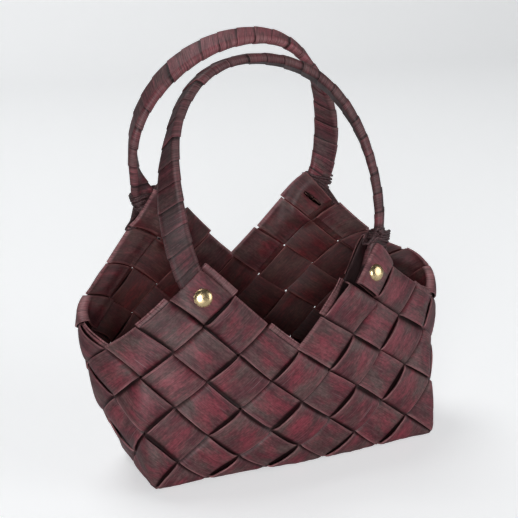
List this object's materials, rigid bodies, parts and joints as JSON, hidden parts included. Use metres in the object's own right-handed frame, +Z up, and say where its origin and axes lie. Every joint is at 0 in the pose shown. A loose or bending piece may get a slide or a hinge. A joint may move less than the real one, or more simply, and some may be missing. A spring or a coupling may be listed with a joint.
{
  "type": "woven basket",
  "caption": "Low oval basket plaited on the bias from wide dark red veneer strips, with a zigzag folded rim and riveted hoop handles wound with veneer ribbon.",
  "frame": {"origin": "centre of the base rectangle, on the surface that the basket stands on", "axes": "+Z up, +X along the basket to the right seen from the front, -Y towards the lower front rim"},
  "size_m": [0.184, 0.0859, 0.2085],
  "materials": {
    "strip_veneer": "satin",
    "wrap_veneer": "satin",
    "band_wood": "matte",
    "lashing_cord": "matte",
    "rivet_brass": "polished"
  },
  "bodies": {
    "basket": {"rising_strip_1": "strip_veneer", "rising_strip_2": "strip_veneer", "rising_strip_3": "strip_veneer", "rising_strip_4": "strip_veneer", "rising_strip_5": "strip_veneer", "rising_strip_6": "strip_veneer", "rising_strip_7": "strip_veneer", "falling_strip_1": "strip_veneer", "falling_strip_2": "strip_veneer", "falling_strip_3": "strip_veneer", "falling_strip_4": "strip_veneer", "falling_strip_5": "strip_veneer", "falling_strip_6": "strip_veneer", "falling_strip_7": "strip_veneer", "front_left_rivet": "rivet_brass", "front_right_rivet": "rivet_brass", "rear_left_rivet": "rivet_brass", "rear_right_rivet": "rivet_brass"},
    "front_handle": {"front_handle_band": "band_wood", "front_handle_wrap": "wrap_veneer", "front_right_lashing": "lashing_cord"},
    "rear_handle": {"rear_handle_band": "band_wood", "rear_handle_wrap": "wrap_veneer", "rear_left_lashing": "lashing_cord", "rear_right_lashing": "lashing_cord"}
  },
  "joints": [
    {"name": "front_handle_lean", "type": "hinge", "parent": "basket", "child": "front_handle", "pos_m": [0, -0.01833, 0.09171], "axis": [1, 0, 0], "range_deg": [-3, 3]},
    {"name": "rear_handle_lean", "type": "hinge", "parent": "basket", "child": "rear_handle", "pos_m": [0, 0.04538, 0.11641], "axis": [1, 0, 0], "range_deg": [-3, 3]}
  ]
}
